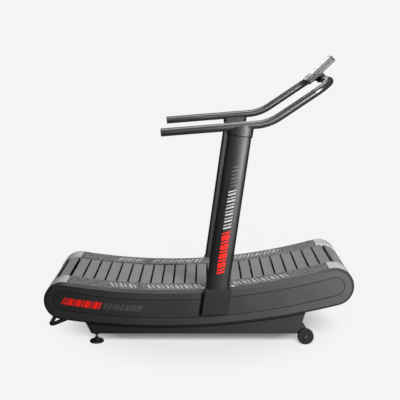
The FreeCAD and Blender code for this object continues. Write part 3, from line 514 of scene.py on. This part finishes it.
# ------------------------------------------------------------------ slat belt
def loop_place(distance, half):
    """Point on the belt loop, and the heading there as a turn about +Y."""
    rear = arc_angle(-NOSE_X, MID_RADIUS)
    front = arc_angle(NOSE_X, MID_RADIUS)
    top = (MID_RADIUS - half) * (front - rear)
    nose = math.pi * half
    bottom = (MID_RADIUS + half) * (front - rear)
    distance %= top + bottom + 2 * nose
    if distance < top:
        angle = rear + distance / (MID_RADIUS - half)
        return arc_point(MID_RADIUS - half, angle), -angle
    distance -= top
    if distance < nose:
        return nose_point(front, half, distance / half), distance / half - front
    distance -= nose
    if distance < bottom:
        angle = front - distance / (MID_RADIUS + half)
        return arc_point(MID_RADIUS + half, angle), math.pi - angle
    turn = math.pi - (distance - bottom) / half
    return nose_point(rear, half, turn), -turn - rear


def rib_profile(core):
    """Side view of a tread on a core: rounded shoulders and fine ribs between them."""
    shoulder = 0.0009
    ribs = 15
    groove = SLAT_TOP - 0.0005
    foot = core - 0.0002
    inner = TREAD_HALF - shoulder
    pitch = 2 * inner / ribs
    points = [(-TREAD_HALF, foot), (-TREAD_HALF, SLAT_TOP - shoulder)]
    for k in range(ribs):
        left = -inner + k * pitch
        points += [(left, SLAT_TOP), (left + 0.6 * pitch, SLAT_TOP),
                   (left + 0.7 * pitch, groove), (left + 0.9 * pitch, groove)]
    return points + [(inner, SLAT_TOP), (TREAD_HALF, SLAT_TOP - shoulder), (TREAD_HALF, foot)]


def core_profile(top):
    """Side view of a core: a bar with bevelled edges, the upper ones narrower."""
    edge = 0.0015
    return [(-SLAT_HALF + edge, 0.0), (SLAT_HALF - edge, 0.0), (SLAT_HALF, edge),
            (SLAT_HALF, top - edge), (SLAT_HALF - edge / 2, top), (edge / 2 - SLAT_HALF, top),
            (-SLAT_HALF, top - edge), (-SLAT_HALF, edge)]


def slats():
    """Rubber treads, and the rigid cores that show between them, coloured near-black as painted
    shade in the gaps.
    """
    rear = arc_angle(-NOSE_X, MID_RADIUS)
    front = arc_angle(NOSE_X, MID_RADIUS)
    pitch = (2 * MID_RADIUS * (front - rear) + 2 * math.pi * SLAT_BASE) / SLAT_COUNT
    treads = bmesh.new()
    cores = bmesh.new()
    for index in range(SLAT_COUNT):
        origin, heading = loop_place((index + SLAT_PHASE) * pitch, SLAT_BASE)
        ahead = Vector((math.cos(heading), 0.0, -math.sin(heading)))
        out = Vector((math.sin(heading), 0.0, math.cos(heading)))
        core = NOSE_CORE if origin.x > NOSE_X - NOSE_REACH else SLAT_CORE
        for bm, profile in ((treads, rib_profile(core)), (cores, core_profile(core))):
            side = [origin + ahead * a + out * b for a, b in profile]
            tube(bm, [[point + Vector((0.0, y, 0.0)) for point in side]
                      for y in (-SLAT_END, SLAT_END)])
    tread = piece("slat_treads", treads, MATERIALS["slat"], "slat")
    piece("slat_cores", cores, SLAT_CORE_SHADE_PLASTIC, "slat")
    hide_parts("tread_slats")


# ------------------------------------------------------------------ seals, trims and strips of painted shade
def panel_groove_shades():
    """Black cord that lies in the groove round each side panel, as painted shade that darkens the
    groove's line.
    """
    long_steps, end_steps, cord_steps = 64, 24, 10
    half_wide, half_high, sunk = 0.0026, 0.0014, 0.0011
    half = GROOVE_MIDDLE
    rear = arc_angle(-PANEL_NOSE_X, PANEL_MIDDLE)
    front = arc_angle(PANEL_NOSE_X, PANEL_MIDDLE)
    path = []
    for k in range(long_steps):
        path.append(arc_point(PANEL_MIDDLE - half, rear + (front - rear) * k / long_steps))
    for k in range(end_steps):
        path.append(nose_point(front, half, math.pi * k / end_steps, PANEL_MIDDLE))
    for k in range(long_steps):
        path.append(arc_point(PANEL_MIDDLE + half, front - (front - rear) * k / long_steps))
    for k in range(end_steps):
        path.append(nose_point(rear, half, math.pi * (1 - k / end_steps), PANEL_MIDDLE))
    across = Vector((0.0, 1.0, 0.0))
    for name, side in SIDES:
        middle = across * (side * (CASING_OUTER - sunk))
        sections = []
        for k, point in enumerate(path):
            ahead = (path[(k + 1) % len(path)] - path[k - 1]).normalized()
            out = across.cross(ahead)
            sections.append([point + middle + across * half_high * math.cos(t)
                             + out * half_wide * math.sin(t) for t in circle(cord_steps)])
        # painted shade: a near-black cord in the groove
        tube_piece("panel_groove_shade_" + name, sections, SEAL_AND_SHADE_RUBBER, "belt", closed=True)


def base_shadow_strips():
    """Painted shadow: black strips between each casing's underside and the base frame, on its outer
    side, standing in for the shadow under the casing's overhang.
    """
    start, length, steps = -0.655, 1.268, 64
    # y of each corner, and its drop below the underside
    corners = ((0.3400, 0.0006), (0.3400, 0.0150), (0.3462, 0.0150), (0.3475, 0.0006))
    for name, side in SIDES:
        sections = []
        for k in range(steps + 1):
            angle = arc_angle(start + length * k / steps, UNDER_RADIUS, UNDER_CENTRE)
            sections.append([arc_point(UNDER_RADIUS + drop, angle, side * y, UNDER_CENTRE)
                             for y, drop in corners])
        # painted shadow under the casing's overhang
        tube_piece("base_shadow_strip_" + name, sections, SEAL_AND_SHADE_RUBBER, "belt")


def bracket_trims():
    """Small pale corner pieces that close the rail's edge on both sides of each bracket."""
    bevel, drop = 0.0020, 0.0015
    inner, outer = 0.3500, 0.3675
    foot, top = 0.0002, 0.0065
    for name, side in SIDES:
        bm = bmesh.new()
        for x0, x1 in ((0.0165, 0.0335), (0.1875, 0.2045)):
            sections = []
            for x in (x0, x0 + bevel, x1 - bevel, x1):
                crown = top - drop if x in (x0, x1) else top
                deck = arc_point(DECK_RADIUS, arc_angle(x, DECK_RADIUS))
                sections.append([deck + Vector((0.0, side * y, lift)) for y, lift in (
                    (inner, foot), (inner, crown - drop), (inner + bevel, crown),
                    (outer - bevel, crown), (outer, crown - drop), (outer, foot))])
            tube(bm, sections)
        piece("bracket_trims_" + name, bm, MATERIALS["rail_cap"], "rail_cap")


def collar_seals():
    """Thin rubber ring on each upright, under the collar's lower edge."""
    steps = 72
    inner, outer = 0.0002, 0.0048       # off the upright's surface
    bottom, top = COLLAR_START - 0.0042, COLLAR_START - 0.0003
    for name, side in SIDES:
        sections = []
        for turn in circle(steps):
            section = []
            for grow, t in ((inner, bottom), (outer, bottom), (outer, top), (inner, top)):
                off = max((UP_WIDE + grow) * math.sin(turn), UP_FLAT - UP_WIDE - grow)
                section.append(upright_point(side, t, (UP_LONG + grow) * math.cos(turn), off))
            sections.append(section)
        tube_piece("collar_seal_" + name, sections, SEAL_AND_SHADE_RUBBER, "upright_paint", closed=True)


# ------------------------------------------------------------------ studs and wheels
def studs():
    """Threaded levelling studs with wrench flats."""
    pitch, crest, root = 0.00175, 0.0060, 0.0052
    end, bevel = 0.0045, 0.0015         # radius and height of the bevel at both ends
    bottom, top = 0.0103, 0.1000
    flats = [(0.0082, 0.0265), (0.00924, 0.0272), (0.00924, 0.0323), (0.0082, 0.0330)]
    for name, side in SIDES:
        def place(x, y, z, side=side):
            return Vector((FOOT_X + x, side * FOOT_Y + y, z))
        z = bottom + bevel
        profile = [(end, bottom), (crest, z)]
        while z < top - bevel - pitch:
            profile += [(crest, z + 0.15 * pitch), (root, z + 0.5 * pitch),
                        (crest, z + 0.85 * pitch)]
            z += pitch
        profile += [(crest, top - bevel), (end, top)]
        bm = bmesh.new()
        lathe(bm, profile, place)
        lathe(bm, flats, place, 6)
        stud = piece("threaded_stud_" + name, bm, MATERIALS["black_oxide"], "black_oxide",
                     "stud_" + name)
        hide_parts("foot_stud_" + name)


def wheel_ribs():
    """Radial ribs in the dish on both faces of each wheel."""
    count, thick, sunk = 6, 0.0023, 0.0031
    wheel_width = 0.0209
    ends = ((0.0155, 0.0028), (0.0325, 0.0019))     # radius, and half width of the rib there
    taper = 0.7
    for name, side in SIDES:
        bm = bmesh.new()
        for face in (WHEEL_FACE - sunk, WHEEL_FACE - wheel_width - thick + sunk):
            for angle in circle(count):
                turn = Matrix.Rotation(angle, 3, "Y")
                sections = []
                for reach, half in ends:
                    corners = [(-half, face), (half, face),
                               (half * taper, face + thick), (-half * taper, face + thick)]
                    sections.append([turn @ Vector((a, 0.0, reach))
                                     + Vector((WHEEL_X, side * y, WHEEL_Z)) for a, y in corners])
                tube(bm, sections)
        piece("wheel_ribs_" + name, bm, MATERIALS["wheel"], "wheel", "wheel_" + name)


# ------------------------------------------------------------------ console
def console_seal():
    """Dark cord in the joint between the console's two shells."""
    place = on_console(CONSOLE_SEAM)
    steps = 6
    half = 0.0011
    inner, outer = CONSOLE_CORNER - 0.0010, CONSOLE_CORNER + 0.0003
    reach = CONSOLE_LONG / 2 - CONSOLE_CORNER
    spread = CONSOLE_WIDE / 2 - CONSOLE_CORNER
    sections = []
    for corner, (x, y) in enumerate(((1, 1), (1, -1), (-1, -1), (-1, 1))):
        for k in range(steps + 1):
            turn = math.pi / 2 * (corner + k / steps)
            sections.append([place(x * reach + radius * math.sin(turn),
                                   y * spread + radius * math.cos(turn), lift)
                             for radius, lift in ((inner, -half), (outer, -half),
                                                  (outer, half), (inner, half))])
    tube_piece("console_seal", sections, SEAL_AND_SHADE_RUBBER, "console_shell", closed=True)


def outline(bm, place, low, high, half, line):
    """Hollow rectangle from low to high up the slope, with lines of one width."""
    inside = (low + line, high - line)
    for along, across in (((high - line, high), (-half, half)), ((low, low + line), (-half, half)),
                          (inside, (-half, line - half)), (inside, (half - line, half))):
        bar(bm, place, along, across, steps=1)


def chevron(bm, place, start, middle, slope):
    half, line = 0.0040, 0.0014
    tip = start + slope * half
    bar(bm, place, (start, start + line), (middle - half, middle), slope, 1)
    bar(bm, place, (tip, tip + line), (middle, middle + half), -slope, 1)


def digit(bm, place, x, y):
    """All seven segments, around the middle of the digit."""
    line = 0.0009
    for rung in (-0.0115, 0.0, 0.0115):
        bar(bm, place, (x + rung - line, x + rung + line), (y - 0.0066, y + 0.0066), steps=1)
    for post in (-0.0082, 0.0082):
        for low, high in ((-0.0102, -0.0014), (0.0014, 0.0102)):
            bar(bm, place, (x + low, x + high), (y + post - line, y + post + line), steps=1)


def display():
    """Three rows of four digits, each row underlined, a border, and the buttons' signs."""
    place = on_console(CONSOLE_WINDOW)
    bm = bmesh.new()
    for x in (0.070, 0.028, -0.014):
        for column in range(4):
            digit(bm, place, x, 0.042 - 0.028 * column)
        bar(bm, place, (x - 0.0195, x - 0.0187), (-0.060, 0.060), steps=1)
    piece("display_segments", bm, DISPLAY_INK, "window")
    bm = bmesh.new()
    outline(bm, place, low=-0.0500, high=0.0920, half=0.071, line=0.0025)
    piece("display_border", bm, FINE_INK, "window")
    place = on_console(CONSOLE_BUTTONS)
    for name, y in (("left", 0.034), ("middle", 0.0), ("right", -0.034)):
        bm = bmesh.new()
        if name == "left":
            chevron(bm, place, -0.0785, y, 0.8)
        elif name == "middle":
            outline(bm, place, low=-0.0797, high=-0.0723, half=0.003, line=0.0012)
        else:
            chevron(bm, place, -0.0750, y, -0.8)
        piece("button_sign_" + name, bm, PALE_INK, "button", "button_" + name)


printed_stripes()
slats()
panel_groove_shades()
base_shadow_strips()
bracket_trims()
collar_seals()
studs()
wheel_ribs()
console_seal()
display()


# ------------------------------------------------------------------ camera, light and floor
def glow(tree, kind, level):
    made = tree.nodes.new(kind)
    made.inputs["Color"].default_value = (*grey(level), 1.0)
    return made.outputs[0]


def mix(tree, factor, first, second):
    made = tree.nodes.new("ShaderNodeMixShader")
    for socket, source in zip(made.inputs, (factor, first, second)):
        tree.links.new(source, socket)
    return made.outputs[0]


def seen_by_camera(tree, seen, lighting):
    """One shader for the camera's own rays, another for the light that reaches the object."""
    direct = tree.nodes.new("ShaderNodeLightPath").outputs["Is Camera Ray"]
    return mix(tree, direct, lighting, seen)


def hang(name, data, place, target, receivers):
    """Hangs a lamp, aims it, and limits what it lights."""
    lamp = bpy.data.objects.new(name, data)
    lamp.location = place
    scene.collection.objects.link(lamp)
    aim = Vector(target) - lamp.location
    lamp.rotation_euler = aim.to_track_quat("-Z", "Y").to_euler()
    lamp.light_linking.receiver_collection = receivers
    return lamp


def studio(floor_only, all_but_floor):
    """Even page behind, soft lamps for the object, and a wide sun for the floor's shadow."""
    scene.view_settings.view_transform = "Standard"
    world = bpy.data.worlds.new("studio")
    world.use_nodes = True
    scene.world = world
    tree = world.node_tree
    page = seen_by_camera(tree, tree.nodes["Background"].outputs[0],
                          glow(tree, "ShaderNodeBackground", BOUNCE))
    tree.nodes["Background"].inputs["Color"].default_value = (*grey(PAGE), 1.0)
    tree.links.new(page, tree.nodes["World Output"].inputs[0])
    # name, place, target, size, power in watts, spread in degrees
    for name, place, target, size, power, spread in (
            ("overhead", (0.25, -0.2, 4.4), (0.1, 0.0, 0.3), (2.8, 1.2), 104, 180),
            ("front_fill", (-0.6, -4.5, 2.6), (0.0, 0.0, 0.5), (2.4, 1.6), 5, 180),
            ("right_strip", (1.7, -3.2, 1.3), (0.85, -0.4, 0.5), (0.9, 2.2), 52, 70),
            ("backdrop", (-0.8, 3.6, 3.2), (0.2, 0.0, 1.3), (3.0, 1.6), 60, 180),
            ("left_strip", (-1.5, -4.0, 1.5), (0.0, -0.4, 1.0), (0.25, 2.4), 4, 180),
            ("console_glow", (0.65, 4.0, 2.1), (0.7, 0.0, 1.55), (1.0, 1.6), 8, 180)):
        data = bpy.data.lights.new(name, "AREA")
        data.shape = "RECTANGLE"
        data.size, data.size_y = size
        data.energy = power
        data.spread = math.radians(spread)
        hang(name, data, place, target, all_but_floor).visible_camera = False
    data = bpy.data.lights.new("floor_light", "SUN")
    data.energy = 4.4
    data.angle = math.radians(30)
    hang("floor_light", data, (0.0, -4.0, 2.8), (0.0, 0.0, 0.0), floor_only)


def floor():
    """Paper that shows the shadow near the object and fades to the page around it."""
    mesh = bpy.data.meshes.new("floor")
    bm = bmesh.new()
    bmesh.ops.create_circle(bm, cap_ends=True, radius=40.0, segments=96)
    bm.to_mesh(mesh)
    bm.free()
    thing = bpy.data.objects.new("floor", mesh)
    scene.collection.objects.link(thing)
    p = Paint("floor_paper")
    length = p.add("ShaderNodeVectorMath", operation="LENGTH")
    p.link(p.stretched((1.0, 1.1, 1.0)), length.inputs[0])
    fade = p.remap(length.outputs["Value"], 0.52, 0.88, 0.80, 0.04)
    p.finish(p.blend(p.noise(300.0), grey(0.88), grey(0.92)), 0.9, specular=0.0)
    seen = mix(p.tree, fade, glow(p.tree, "ShaderNodeEmission", PAGE), p.shader.outputs[0])
    paper = seen_by_camera(p.tree, seen, glow(p.tree, "ShaderNodeEmission", BOUNCE))
    p.link(paper, p.tree.nodes["Material Output"].inputs["Surface"])
    mesh.materials.append(p.material)
    floor_only = bpy.data.collections.new("floor_only")
    floor_only.objects.link(thing)
    all_but_floor = bpy.data.collections.new("all_but_the_floor")
    all_but_floor.objects.link(thing)
    all_but_floor.collection_objects[0].light_linking.link_state = "EXCLUDE"
    return floor_only, all_but_floor


def camera():
    """The camera fitted to the photograph."""
    data = bpy.data.cameras.new("camera")
    data.lens = 76.4
    data.shift_x = -0.0078
    data.shift_y = 0.0019
    thing = bpy.data.objects.new("camera", data)
    thing.location = (0.025, -5.0517, 1.7104)
    thing.rotation_euler = (math.radians(79.55), 0.0, 0.0)
    scene.collection.objects.link(thing)
    scene.camera = thing


studio(*floor())
camera()
